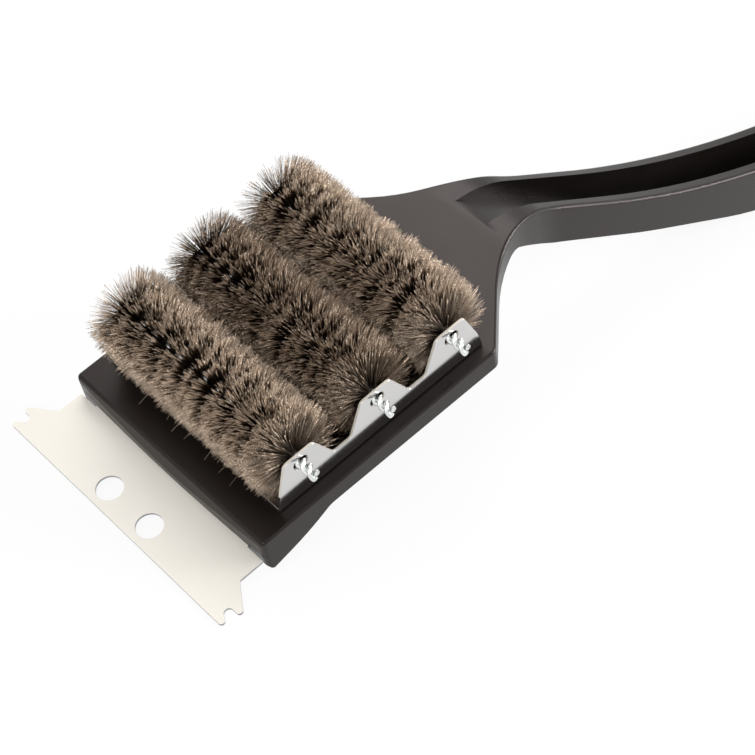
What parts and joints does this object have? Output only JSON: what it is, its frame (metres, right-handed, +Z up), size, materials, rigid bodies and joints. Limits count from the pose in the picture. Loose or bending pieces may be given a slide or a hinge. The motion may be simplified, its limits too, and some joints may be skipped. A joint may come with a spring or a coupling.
{
  "type": "grill cleaning brush",
  "caption": "Long-handled grill cleaning brush with rows of twisted-wire bristles in a bright bracket and a notched steel scraper blade.",
  "frame": {"origin": "under the middle of the brush's box, on the level surface that it lies on", "axes": "+Z up, +Y from the scraper blade to the handle's end, X across the head; the brush lies on the blade's edge and the handle's belly, bristles up"},
  "size_m": [0.1198, 0.4626, 0.0836],
  "materials": {
    "black_moulding": "matte moulded, fine grain",
    "satin_steel": "satin stainless sheet",
    "bright_steel": "bright polished sheet",
    "core_wire": "galvanised wire",
    "bristle_wire": "crimped steel wire",
    "screw_steel": "plated"
  },
  "bodies": {
    "root": {"handle_body": "black_moulding", "scraper_blade": "satin_steel", "brush_bracket": "bright_steel", "front_wire_a": "core_wire", "front_wire_b": "core_wire", "front_bristles": "bristle_wire", "middle_wire_a": "core_wire", "middle_wire_b": "core_wire", "middle_bristles": "bristle_wire", "rear_wire_a": "core_wire", "rear_wire_b": "core_wire", "rear_bristles": "bristle_wire", "bracket_screws": "screw_steel", "blade_screws": "screw_steel"}
  },
  "joints": []
}
